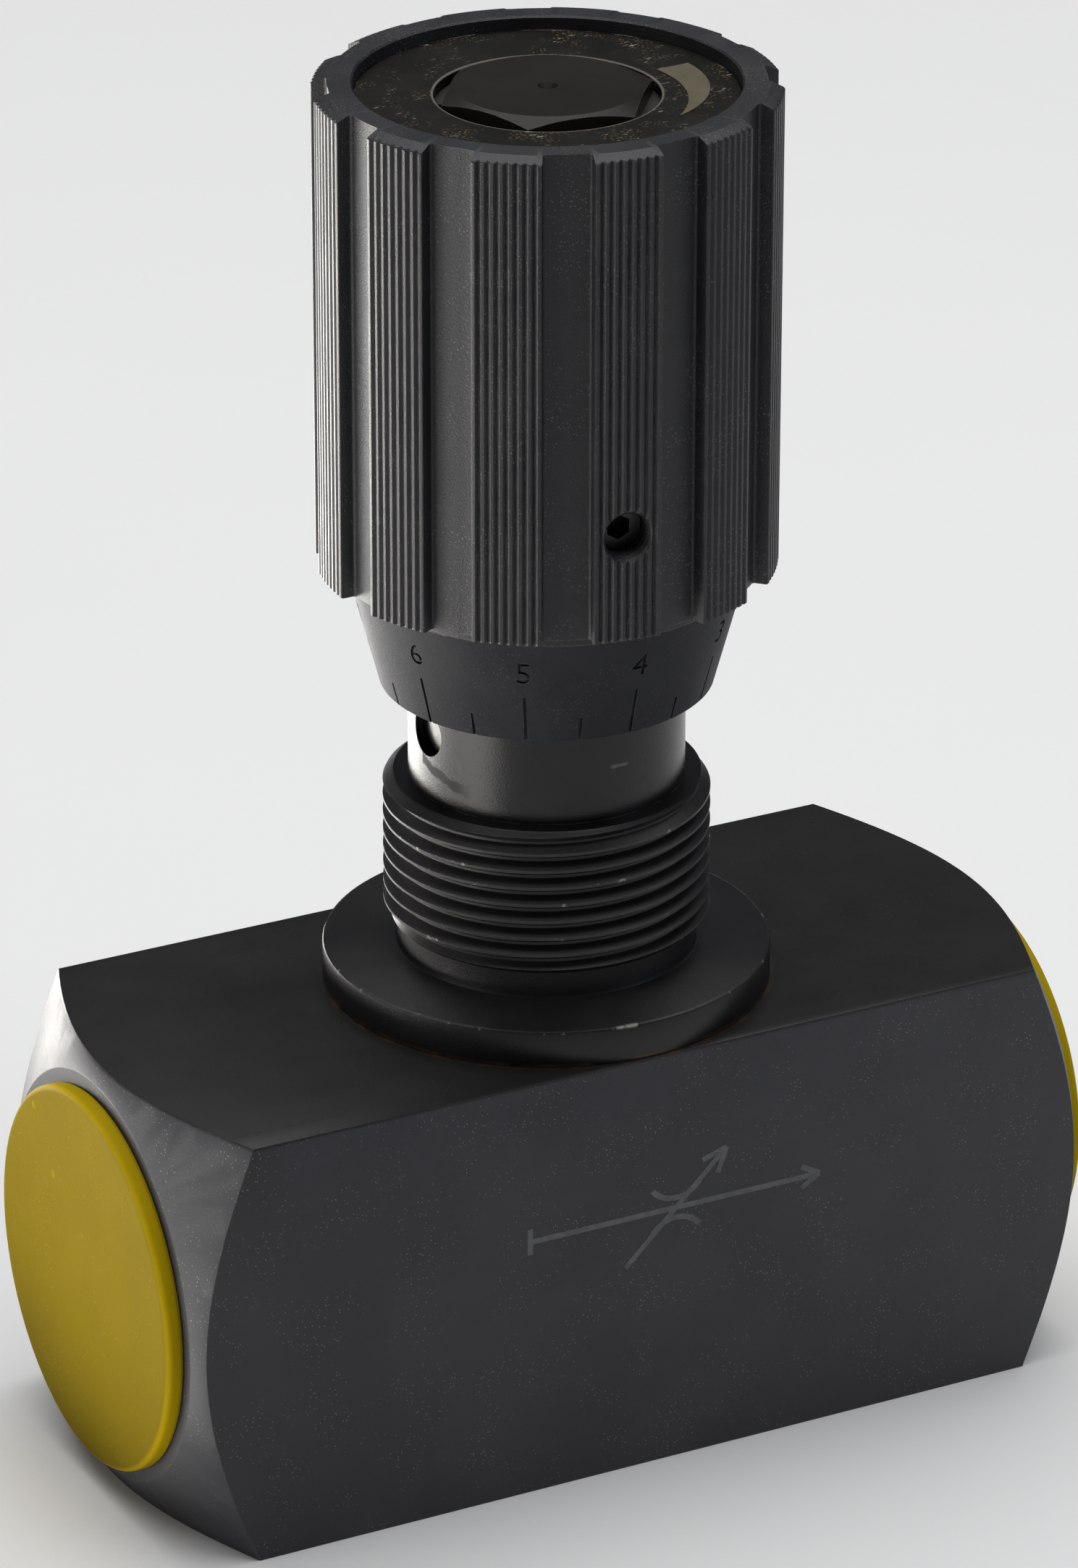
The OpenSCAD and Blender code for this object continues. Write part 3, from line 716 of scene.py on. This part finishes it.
@dataclass
class ValveBody:
    """The square bar with its ports, port threads and etched flow symbol; sizes in millimetres."""

    length: float = 110.0
    flats: float = 50.0
    edge_width: float = 0.28
    port_tap_radius: float = 15.15
    port_thread_crest: float = 14.75
    port_thread_pitch: float = 2.31
    port_mouth_depth: float = 5.5
    port_thread_length: float = 16.5
    symbol_centre: tuple[float, float] = (3.0, 31.0)
    symbol_scale: float = 1.2
    symbol_line: float = 0.55
    symbol_proud: float = 0.03
    symbol_reach: float = 15.0
    bow_radius: float = 3.1
    bow_offset: float = 4.1
    bow_spread: float = 104.0
    bow_steps: int = 20
    arrow_tip: tuple[float, float] = (5.2, 5.0)
    wing_length: float = 2.6
    wing_spread: float = 26.0

    def block(self) -> bpy.types.Object:
        """The bar, its outer edges broken."""
        bm = node_copy("valve_body")
        half = self.flats / 2 * MM

        def outer(vert: bmesh.types.BMVert) -> bool:
            """Whether a point lies on one of the bar's outer faces."""
            x, y, z = vert.co
            near = 2e-5
            on_flat = abs(y) > half - near or z < near
            on_top = z > 2 * half - near and math.hypot(x, y) > half
            on_end = abs(x) > self.length / 2 * MM - near and math.hypot(y, z - half) > 0.9 * half
            return on_flat or on_top or on_end

        soften(bm, self.edge_width * MM,
               lambda e: corner_angle(e) > 20 and all(outer(v) for v in e.verts))
        return as_object(bm, "bar_block", 25.0)

    def port_thread(self, side: int) -> bpy.types.Object:
        """The thread in one port.

        Args:
            side: 1 for the +X port, -1 for the other.

        Returns:
            The thread's skin.
        """
        bm = helix(self.port_tap_radius, self.port_thread_crest, 0.0, self.port_thread_length,
                   self.port_thread_pitch, steps=72)
        start = self.length / 2 - self.port_mouth_depth - self.port_thread_length
        place = Matrix.Translation((side * start * MM, 0.0, self.flats / 2 * MM))
        bmesh.ops.transform(bm, matrix=place @ Matrix.Rotation(side * math.pi / 2, 4, "Y"), verts=bm.verts)
        name = "port_thread_right" if side > 0 else "port_thread_left"
        return as_object(bm, name, 25.0)

    def stroke(self, bm: bmesh.types.BMesh, start: Vector, end: Vector) -> None:
        """Adds one straight stroke of the symbol, each a hair prouder than the last."""
        along = end - start
        proud = self.symbol_proud + 0.0015 * (len(bm.faces) // 6 % 12)
        made = bmesh.ops.create_cube(bm, size=1.0)["verts"]
        bmesh.ops.scale(bm, vec=(along.length, self.symbol_line, 2 * proud), verts=made)
        turn = Matrix.Rotation(math.atan2(along.y, along.x), 4, "Z")
        middle = (start + end) / 2
        bmesh.ops.transform(bm, matrix=Matrix.Translation((middle.x, middle.y, 0)) @ turn, verts=made)

    def bow(self, bm: bmesh.types.BMesh, side: int) -> None:
        """Adds one arc of the symbol by turning a short square section.

        Args:
            bm: the symbol so far.
            side: 1 for the arc above the line, -1 for the one below.
        """
        before = set(bm.verts)
        made = bmesh.ops.create_circle(
            bm, cap_ends=True, segments=4, radius=self.symbol_line / math.sqrt(2))
        section = made["verts"]
        spread = math.radians(self.bow_spread)
        start = -side * math.pi / 2 - spread / 2
        bmesh.ops.rotate(bm, verts=section, cent=(0, 0, 0), matrix=Matrix.Rotation(math.pi / 4, 3, "Z"))
        bmesh.ops.rotate(bm, verts=section, cent=(0, 0, 0), matrix=Matrix.Rotation(math.pi / 2, 3, "X"))
        bmesh.ops.scale(bm, vec=(1, 1, 2 * self.symbol_proud / self.symbol_line), verts=section)
        bmesh.ops.translate(bm, vec=(self.bow_radius, 0, 0), verts=section)
        bmesh.ops.rotate(bm, verts=section, cent=(0, 0, 0), matrix=Matrix.Rotation(start, 3, "Z"))
        faces = list({f for v in section for f in v.link_faces})
        edges = list({e for v in section for e in v.link_edges})
        bmesh.ops.spin(
            bm, geom=section + faces + edges, cent=(0, 0, 0), axis=(0, 0, 1), dvec=(0, 0, 0),
            angle=spread, steps=self.bow_steps)
        arc = [v for v in bm.verts if v not in before]
        bmesh.ops.translate(bm, vec=(0, side * self.bow_offset, 0), verts=arc)

    def symbol(self) -> bpy.types.Object:
        """The etched sign for an adjustable throttle, in place of the plate's lettering."""
        bm = bmesh.new()
        left = Vector((-self.symbol_reach, 0.0))
        right = Vector((self.symbol_reach, 0.0))
        tip = Vector(self.arrow_tip)
        self.stroke(bm, left, right)
        self.bow(bm, 1)
        self.bow(bm, -1)
        self.stroke(bm, -tip, tip)
        back = -tip.normalized() * self.wing_length
        for turn in (math.radians(self.wing_spread), -math.radians(self.wing_spread)):
            self.stroke(bm, tip, tip + Matrix.Rotation(turn, 2) @ back)
        for lift in (-1, 1):
            self.stroke(bm, left, left + Vector((0.0, 1.3 * lift)))
        for lift in (-1, 1):
            self.stroke(bm, right, right + Vector((-1.9, 1.1 * lift)))
        grow = self.symbol_scale * MM
        bmesh.ops.scale(bm, vec=(grow, grow, MM), verts=bm.verts)
        x, z = self.symbol_centre
        place = Matrix.Translation((x * MM, -self.flats / 2 * MM, z * MM))
        bmesh.ops.transform(bm, matrix=place @ Matrix.Rotation(math.pi / 2, 4, "X"), verts=bm.verts)
        return as_object(bm, "flow_symbol", 30.0)

    def build(self) -> None:
        """Builds and dresses the body."""
        dressed(self.block(), OXIDE_BODY, Body.VALVE, ["valve_body"])
        for side in (-1, 1):
            dressed(self.port_thread(side), OXIDE_BODY, Body.VALVE)
        dressed(self.symbol(), ETCHED_GREY, Body.VALVE)


@dataclass
class Bush:
    """The screwed bush: flange, panel thread and smooth neck; sizes in millimetres."""

    bottom: float = 38.5
    top: float = 118.7
    bore_radius: float = 11.1
    spigot_radius: float = 16.0
    body_top: float = 50.0
    flange_radius: float = 24.8
    flange_top: float = 54.3
    relief_radius: float = 16.5
    thread_bottom: float = 57.6
    thread_top: float = 74.5
    thread_crest: float = 18.0
    thread_root: float = 16.85
    thread_pitch: float = 2.0
    thread_chamfer: float = 1.0
    neck_radius: float = 15.2
    pin_angle: float = -176.8
    pin_height: float = 82.2
    pin_hole_radius: float = 2.75

    def core(self) -> bmesh.types.BMesh:
        """The turned shape without its thread."""
        flange = self.flange_radius
        return turned([
            (self.bore_radius, self.bottom), (self.spigot_radius - 1, self.bottom),
            (self.spigot_radius, self.bottom + 1), (self.spigot_radius, self.body_top),
            (flange - 0.25, self.body_top), (flange - 0.06, self.body_top + 0.06),
            (flange, self.body_top + 0.25), (flange, self.flange_top - 0.45),
            (flange - 0.12, self.flange_top - 0.15), (flange - 0.42, self.flange_top),
            (self.relief_radius + 0.5, self.flange_top), (self.relief_radius + 0.15, self.flange_top + 0.15),
            (self.relief_radius, self.flange_top + 0.5), (self.relief_radius, self.thread_bottom + 0.1),
            (self.thread_root + 0.1, self.thread_bottom + 0.4),
            (self.thread_root - 0.1, self.thread_bottom + 1.0),
            (self.thread_root - 0.1, self.thread_top - 0.4), (self.neck_radius, self.thread_top - 0.1),
            (self.neck_radius, self.top - 0.5), (self.neck_radius - 0.5, self.top),
            (self.bore_radius, self.top)], 160)

    def pin_hole(self) -> bmesh.types.BMesh:
        """The cutter for the stop pin's cross hole."""
        bm = bmesh.new()
        bmesh.ops.create_cone(
            bm, cap_ends=True, segments=48, radius1=self.pin_hole_radius * MM,
            radius2=self.pin_hole_radius * MM, depth=8 * MM)
        turn = outwards(self.pin_angle)
        aim = Matrix.Rotation(math.radians(self.pin_angle), 3, "Z") @ Vector((self.neck_radius * MM, 0, 0))
        place = Matrix.Translation(aim + Vector((0, 0, self.pin_height * MM)))
        bmesh.ops.transform(bm, matrix=place @ turn, verts=bm.verts)
        return bm

    def thread(self) -> bmesh.types.BMesh:
        """The panel thread with its chamfered upper end."""
        bm = helix(self.thread_root, self.thread_crest, self.thread_bottom, self.thread_top,
                   self.thread_pitch, steps=150)
        for vert in bm.verts:
            over = vert.co.z / MM - (self.thread_top - self.thread_chamfer)
            under = (self.thread_bottom + self.thread_chamfer) - vert.co.z / MM
            limit = self.thread_crest - max(over, under, 0.0)
            reach = math.hypot(vert.co.x, vert.co.y) / MM
            if reach > limit:
                vert.co.x *= limit / reach
                vert.co.y *= limit / reach
        pull_rim(bm, self.thread_top, self.neck_radius - 0.1)
        pull_rim(bm, self.thread_bottom, self.relief_radius - 0.1)
        return bm

    def build(self) -> None:
        """Builds and dresses the bush."""
        bm = carved(self.core(), self.pin_hole())
        near_hole = (self.pin_hole_radius + 0.15) * MM
        soften(bm, 0.12 * MM, lambda e: corner_angle(e) > 60 and all(
            abs(v.co.z - self.pin_height * MM) < near_hole
            and abs(math.hypot(v.co.x, v.co.y) - self.neck_radius * MM) < 2e-5 for v in e.verts), 1)
        add_into(bm, self.thread())
        dressed(as_object(bm, "bush_turning", 28.0), OXIDE_BUSH, Body.VALVE, ["spindle_bush"])


@dataclass
class Knob:
    """The ribbed grip, its dial and its hub; sizes in millimetres, angles in degrees."""

    rib_count: int = 12
    rib_share: float = 0.577
    phase: float = -7.5
    outer_radius: float = 25.1
    floor_radius: float = 23.35
    fillet: float = 0.45
    corner: float = 0.18
    crest_count: int = 6
    crest_pitch: float = 1.0
    crest_flat: float = 0.30
    groove_depth: float = 0.34
    dial_bottom: float = 85.7
    dial_bottom_radius: float = 18.3
    dial_top: float = 98.2
    dial_top_radius: float = 21.6
    rib_bottom: float = 99.6
    rib_top: float = 154.1
    rib_fall: float = 0.6
    land_radius: float = 23.65
    recess_radius: float = 20.7
    recess_floor: float = 151.6
    cavity_radius: float = 15.6
    hub_bottom: float = 140.3
    hub_top: float = 150.1
    hexagon_flats: float = 20.7
    lock_angle: float = -97.5
    lock_height: float = 111.5
    lock_radius: float = 2.56
    lock_pitch: float = 0.8
    digit_start: float = 55.5
    digit_step: float = 36.0
    digit_size: float = 3.9
    digit_level: float = 94.4
    engraving: float = 0.32
    tick_width: float = 0.34
    main_tick: float = 5.9
    half_tick: float = 3.0

    def outline(self) -> list[tuple[float, float]]:
        """One rib and half of each flute beside it.

        Returns:
            [angle, radius] points, the angle in radians from the rib's middle.
        """
        half_pitch = math.pi / self.rib_count
        half_rib = half_pitch * self.rib_share
        floor = self.floor_radius
        outer = self.outer_radius
        bend = self.fillet / floor
        side = [(half_pitch, floor), (0.6 * half_pitch + 0.4 * (half_rib + bend), floor)]
        side.append((half_rib + bend, floor))
        for share in (0.33, 0.67):
            turn = share * math.pi / 2
            side.append((half_rib + bend * (1 - math.sin(turn)), floor + self.fillet * (1 - math.cos(turn))))
        side.append((half_rib, floor + self.fillet))
        side.append((half_rib, outer - self.corner))
        side.append((half_rib - 0.3 * self.corner / outer, outer - 0.3 * self.corner))
        side.append((half_rib - self.corner / outer, outer))
        pitch = self.crest_pitch / outer
        flat = self.crest_flat / outer / 2
        start = self.crest_count / 2 * pitch
        side.append((start + pitch / 2 - flat, outer))
        for index in range(self.crest_count // 2):
            middle = start - index * pitch
            side.append((middle, outer - self.groove_depth))
            side.append((middle - pitch / 2 + flat, outer - 0.04))
            side.append((middle - pitch / 2 - flat, outer - 0.04))
        side.append((0.0, outer - self.groove_depth))
        left = [(-angle, radius) for angle, radius in side]
        return left + side[-2::-1]

    def ring_heights(self, radius: float) -> list[tuple[float, float]]:
        """The [radius, height] points above and below one outline point, from the bottom up and round."""
        step = self.outer_radius - self.land_radius
        fall = self.rib_fall * max(radius - self.land_radius, 0.0) / step
        inner = min(radius, self.land_radius)
        cavity = self.cavity_radius
        return [(cavity, self.dial_top), (self.dial_top_radius, self.dial_top),
                (self.dial_top_radius, self.rib_bottom),
                (radius - min(0.12, radius - self.floor_radius), self.rib_bottom),
                (radius, self.rib_bottom + 0.12), (radius, self.rib_top - fall - 0.12),
                (radius - min(0.10, radius - inner), self.rib_top - fall),
                (inner, self.rib_top), (self.recess_radius + 0.2, self.rib_top),
                (self.recess_radius, self.rib_top - 0.2), (self.recess_radius, self.recess_floor),
                (cavity, self.recess_floor)]

    def grip(self) -> bmesh.types.BMesh:
        """The ribbed sleeve, one rib made and then turned round the axis."""
        bm = bmesh.new()
        points = self.outline()

        def placed(level: int) -> list[Vector]:
            """Where one level's points lie."""
            spots = []
            for angle, radius in points:
                reach, height = self.ring_heights(radius)[level]
                spots.append(Vector((reach * math.cos(angle), reach * math.sin(angle), height)) * MM)
            return spots

        first = [bm.verts.new(spot) for spot in placed(0)]
        for pair in zip(first, first[1:]):
            bm.edges.new(pair)
        bm.verts.ensure_lookup_table()
        edges = bm.edges[:]
        row = first
        levels = len(self.ring_heights(self.outer_radius))
        for level in list(range(1, levels)) + [0]:
            grown = bmesh.ops.extrude_edge_only(bm, edges=edges)["geom"]
            edges = [item for item in grown if isinstance(item, bmesh.types.BMEdge)
                     and all(v not in row for v in item.verts)]
            fresh = [v for v in grown if isinstance(v, bmesh.types.BMVert)]
            order = []
            for old in row:
                order.append(next(e.other_vert(old) for e in old.link_edges if e.other_vert(old) in fresh))
            for vert, spot in zip(order, placed(level)):
                vert.co = spot
            row = order
        bmesh.ops.remove_doubles(bm, verts=bm.verts, dist=2e-7)
        pitch = 2 * math.pi / self.rib_count
        bmesh.ops.spin(
            bm, geom=bm.verts[:] + bm.edges[:] + bm.faces[:], cent=(0, 0, 0), axis=(0, 0, 1), dvec=(0, 0, 0),
            angle=2 * math.pi - pitch, steps=self.rib_count - 1, use_merge=False, use_duplicate=True)
        bmesh.ops.remove_doubles(bm, verts=bm.verts, dist=2e-6)
        bmesh.ops.rotate(bm, verts=bm.verts, cent=(0, 0, 0),
                         matrix=Matrix.Rotation(math.radians(self.phase), 3, "Z"))
        bmesh.ops.recalc_face_normals(bm, faces=bm.faces)
        return bm

    def lock_hole(self) -> bmesh.types.BMesh:
        """The cutter for the lock screw's threaded hole and its countersink."""
        inner, outer = self.cavity_radius - 3.0, self.outer_radius + 1.0
        wall = [(0.0, inner)]
        level = inner
        while level < self.outer_radius - 1.2:
            wall += [(self.lock_radius, level), (self.lock_radius + 0.28, level + self.lock_pitch / 2)]
            level += self.lock_pitch
        wall += [(self.lock_radius, level), (self.lock_radius, self.outer_radius - 0.55),
                 (self.lock_radius + 0.7, outer - 0.7), (self.lock_radius + 0.7, outer), (0.0, outer)]
        bm = turned(wall, 48, closed=False)
        turn = outwards(self.lock_angle)
        place = Matrix.Translation((0, 0, self.lock_height * MM))
        bmesh.ops.transform(bm, matrix=place @ turn, verts=bm.verts)
        return bm

    def on_dial(self, angle: float, height: float) -> Matrix:
        """The frame on the dial's cone at an angle and a height: X round it, Y up it, Z out of it."""
        rise = self.dial_top - self.dial_bottom
        spread = self.dial_top_radius - self.dial_bottom_radius
        slope = math.atan2(spread, rise)
        reach = self.dial_bottom_radius + spread * (height - self.dial_bottom) / rise
        out = Vector((math.cos(angle), math.sin(angle), 0))
        up = out * math.sin(slope) + Vector((0, 0, math.cos(slope)))
        across = Vector((-math.sin(angle), math.cos(angle), 0))
        turn = Matrix((across, up, across.cross(up))).transposed().to_4x4()
        return Matrix.Translation((out * reach + Vector((0, 0, height))) * MM) @ turn

    def digit(self, number: int) -> bmesh.types.BMesh:
        """The cutter for one dial number, flat and centred."""
        curve = bpy.data.curves.new("dial_number", "FONT")
        curve.body = str(number)
        curve.size = self.digit_size * MM
        curve.align_x = "CENTER"
        curve.align_y = "CENTER"
        curve.extrude = self.engraving * MM
        curve.resolution_u = 3
        holder = bpy.data.objects.new("dial_number", curve)
        bpy.context.scene.collection.objects.link(holder)
        graph = bpy.context.evaluated_depsgraph_get()
        bm = bmesh.new()
        bm.from_mesh(holder.evaluated_get(graph).to_mesh())
        bpy.data.objects.remove(holder)
        bpy.data.curves.remove(curve)
        bmesh.ops.remove_doubles(bm, verts=bm.verts, dist=1e-7)
        return bm

    def tick(self, length: float) -> bmesh.types.BMesh:
        """The cutter for one graduation line, standing on the dial's lower edge."""
        bm = bmesh.new()
        bmesh.ops.create_cube(bm, size=1.0)
        size = Vector((self.tick_width, length + 1, 2 * self.engraving)) * MM
        bmesh.ops.scale(bm, vec=size, verts=bm.verts)
        bmesh.ops.translate(bm, vec=(0, (length - 1) / 2 * MM, 0), verts=bm.verts)
        return bm

    def dial(self) -> bmesh.types.BMesh:
        """The dial cone with its lines and numbers cut in."""
        cone = turned([
            (self.cavity_radius, self.dial_bottom), (self.dial_bottom_radius - 0.2, self.dial_bottom),
            (self.dial_bottom_radius, self.dial_bottom + 0.2), (self.dial_top_radius, self.dial_top),
            (self.cavity_radius, self.dial_top)], 180)
        for index in range(10):
            angle = math.radians(self.digit_start - self.digit_step * index)
            half = angle - math.radians(self.digit_step / 2)
            for stamp, spot in ((self.digit(index), self.on_dial(angle, self.digit_level)),
                                (self.tick(self.main_tick), self.on_dial(angle, self.dial_bottom)),
                                (self.tick(self.half_tick), self.on_dial(half, self.dial_bottom))):
                bmesh.ops.transform(stamp, matrix=spot, verts=stamp.verts)
                cone = carved(cone, stamp)
        return cone

    def hub(self) -> bmesh.types.BMesh:
        """The hub that grips the spindle's hexagon."""
        bm = turned([(0.0, self.hub_bottom), (self.cavity_radius + 0.05, self.hub_bottom),
                     (self.cavity_radius + 0.05, self.hub_top), (0.0, self.hub_top)], 96, closed=False)
        hexagon = bmesh.new()
        corner = self.hexagon_flats / 2 / math.cos(math.pi / 6) * MM
        bmesh.ops.create_cone(hexagon, cap_ends=True, segments=6, radius1=corner, radius2=corner,
                              depth=4 * (self.hub_top - self.hub_bottom) * MM)
        turn = Matrix.Rotation(math.radians(self.phase + 30.0), 4, "Z")
        place = Matrix.Translation((0, 0, self.hub_top * MM))
        bmesh.ops.transform(hexagon, matrix=place @ turn, verts=hexagon.verts)
        return carved(bm, hexagon)

    def build(self) -> None:
        """Builds and dresses the grip, the dial and the hub."""
        grip = carved(self.grip(), self.lock_hole())
        dressed(as_object(grip, "knob_grip", 24.0), KNOB_SATIN, Body.KNOB, ["grip_knob"])
        dressed(as_object(self.dial(), "knob_dial", 24.0), DIAL_SATIN, Body.KNOB)
        dressed(as_object(self.hub(), "knob_hub", 24.0), KNOB_SATIN, Body.KNOB)


@dataclass
class KnobTop:
    """The cover disc in the knob's recess; sizes in millimetres."""

    hole_radius: float = 12.1
    radius: float = 20.65
    bottom: float = 151.6
    top: float = 152.6

    def build(self) -> None:
        """Builds and dresses the disc."""
        bm = turned([
            (self.hole_radius, self.bottom), (self.radius, self.bottom), (self.radius, self.top - 0.15),
            (self.radius - 0.15, self.top), (self.hole_radius + 0.12, self.top),
            (self.hole_radius, self.top - 0.12)], 144)
        dressed(as_object(bm, "cover_pressing"), DISC_SATIN, Body.KNOB, ["cover_disc"])


@dataclass
class PortPlug:
    """A push-in port plug with a rounded rim; sizes in millimetres."""

    side: int
    start: float = 55.05
    axis_height: float = 25.0
    head_radius: float = 21.65
    head_thickness: float = 2.0
    rim: float = 0.8
    spigot_radius: float = 16.75
    spigot_length: float = 4.5
    wall: float = 1.6

    def profile(self) -> list[tuple[float, float]]:
        """The half outline, head up."""
        head, thick, rim = self.head_radius, self.head_thickness, self.rim
        points = [(0.0, thick - 0.06), (head * 0.5, thick - 0.05), (head - rim - 2.2, thick - 0.02)]
        points += [(head - rim - 0.4, thick)]
        for index in range(7):
            turn = math.pi / 2 * (1 - index / 6)
            points.append((head - rim + rim * math.cos(turn), thick - rim + rim * math.sin(turn)))
        points += [(head, 0.35), (head - 0.08, 0.28), (head - 0.08, 0.12), (head - 0.2, 0.0)]
        spigot = self.spigot_radius
        points += [(spigot - 0.1, 0.0)]
        for level in (-1.2, -2.6):
            points += [(spigot - 0.1, level + 0.35), (spigot, level), (spigot - 0.1, level - 0.35)]
        points += [(spigot - 0.1, 0.4 - self.spigot_length), (spigot - 0.5, -self.spigot_length),
                   (spigot - self.wall + 0.2, -self.spigot_length),
                   (spigot - self.wall, 0.2 - self.spigot_length), (spigot - self.wall, 0.0), (0.0, 0.0)]
        return points

    def build(self) -> None:
        """Builds and dresses the plug."""
        bm = turned(self.profile(), 144, closed=False)
        place = Matrix.Translation((self.side * self.start * MM, 0.0, self.axis_height * MM))
        turn = Matrix.Rotation(self.side * math.pi / 2, 4, "Y")
        bmesh.ops.transform(bm, matrix=place @ turn, verts=bm.verts)
        right = self.side > 0
        dressed(as_object(bm, "plug_right" if right else "plug_left"), PLUG_YELLOW,
                Body.RIGHT_PLUG if right else Body.LEFT_PLUG,
                ["port_plug_right" if right else "port_plug_left"])


@dataclass
class CarriedParts:
    """The CAD nodes that keep their own meshes, with their finishes."""

    # The stop pin's finish is darkened as painted shade for its hole.
    finishes: dict[str, Finish] = field(default_factory=lambda: {
        "seat_ring": BRIGHT_STEEL, "stop_pin": SHADED_PIN_STEEL, "retaining_ring": DARK_SPRING_STEEL,
        "flange_seal_ring": SEAL_RUBBER, "spindle_seal_ring": SEAL_RUBBER, "wiper_ring": SEAL_RUBBER,
        "backup_ring": WHITE_RING, "spindle": OXIDE_SPINDLE, "turn_mark": MARK_PAINT,
        "lock_screw": SCREW_OXIDE, "lock_pad": PAD_BRASS})

    def build(self) -> None:
        """Dresses each node."""
        for node, finish in self.finishes.items():
            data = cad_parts[node].data
            data.materials.clear()
            data.materials.append(finish.material())
            log.info("%s keeps its mesh, finish %s", node, finish.name)


# ----------------------------------------------------------------------- studio

@dataclass(frozen=True)
class Lamp:
    """One soft area light."""

    name: str
    place: Colour
    aim: Colour
    width: float
    height: float
    power: float
    colour: Colour = (1.0, 1.0, 1.0)
    spin: Optional[float] = None

    def build(self) -> None:
        """Puts the light in the scene."""
        data = bpy.data.lights.new(self.name, "AREA")
        data.shape = "RECTANGLE"
        data.size = self.width
        data.size_y = self.height
        data.energy = self.power
        data.color = self.colour
        lamp = bpy.data.objects.new(self.name, data)
        lamp.location = self.place
        towards = Vector(self.aim) - Vector(self.place)
        lamp.rotation_euler = towards.to_track_quat("-Z", "Y").to_euler()
        if self.spin is not None:
            lamp.rotation_euler = (math.pi, 0.0, math.radians(self.spin))
        lamp.visible_camera = False
        bpy.context.scene.collection.objects.link(lamp)


@dataclass
class Studio:
    """The pale floor, the soft lights and the camera."""

    azimuth: float = -27.566
    elevation: float = 24.293
    roll: float = 0.065
    distance: float = 0.8915
    lens: float = 184.57
    target: Colour = (0.00308, 0.00767, 0.06876)
    world_light: Colour = (0.072, 0.075, 0.082)
    lamps: list[Lamp] = field(default_factory=lambda: [
        Lamp("overhead", (0.1, 0.15, 1.3), (0.0, 0.0, 0.0), 1.6, 1.6, 21.0),
        Lamp("left_window", (-1.1, 0.05, 0.35), (0.0, 0.0, 0.10), 0.7, 0.8, 1.6, (1.0, 0.97, 0.93)),
        Lamp("near_bounce", (-0.2845, -0.0525, 0.004), (-0.2845, -0.0525, 1.0), 0.43, 0.10, 0.55,
             (1.0, 0.97, 0.92), -159.6),
        Lamp("far_bounce", (-0.322, 0.291, 0.004), (-0.322, 0.291, 1.0), 0.60, 0.43, 11.0,
             (1.0, 0.97, 0.92), -159.6),
        Lamp("right_fill", (0.9, -0.9, 0.6), (0.0, 0.0, 0.08), 0.8, 0.8, 1.5, (0.78, 0.88, 1.0)),
    ])

    def camera(self) -> None:
        """Makes the camera and hands it to the scene."""
        turn, lift = math.radians(self.azimuth), math.radians(self.elevation)
        back = Vector((math.sin(turn) * math.cos(lift), -math.cos(turn) * math.cos(lift), math.sin(lift)))
        data = bpy.data.cameras.new("camera")
        data.sensor_width = 36.0
        data.lens = self.lens
        data.clip_end = 50.0
        camera = bpy.data.objects.new("camera", data)
        camera.location = Vector(self.target) + back * self.distance
        look = back.to_track_quat("Z", "Y").to_matrix().to_4x4()
        look = look @ Matrix.Rotation(math.radians(self.roll), 4, "Z")
        camera.rotation_euler = look.to_euler()
        bpy.context.scene.collection.objects.link(camera)
        bpy.context.scene.camera = camera

    def world(self) -> None:
        """Lights the scene softly from all round."""
        made = bpy.data.worlds.new("studio")
        made.use_nodes = True
        made.node_tree.nodes["Background"].inputs[0].default_value = (*self.world_light, 1.0)
        bpy.context.scene.world = made
        bpy.context.scene.view_settings.view_transform = "Standard"

    def floor(self) -> None:
        """Makes the pale floor."""
        bm = bmesh.new()
        bmesh.ops.create_grid(bm, x_segments=1, y_segments=1, size=3.0)
        plane = as_object(bm, "floor")
        plane.data.materials.append(PALE_FLOOR.material())

    def build(self) -> None:
        """Sets up the studio."""
        self.camera()
        self.world()
        self.floor()
        for lamp in self.lamps:
            lamp.build()


def main() -> None:
    """Builds every sub-assembly in order."""
    Studio().build()
    for part in (CarriedParts(), ValveBody(), Bush(), Knob(), KnobTop(), PortPlug(-1), PortPlug(1)):
        part.build()
        log.info("%s done", type(part).__name__)


if __name__ == "__main__":
    main()
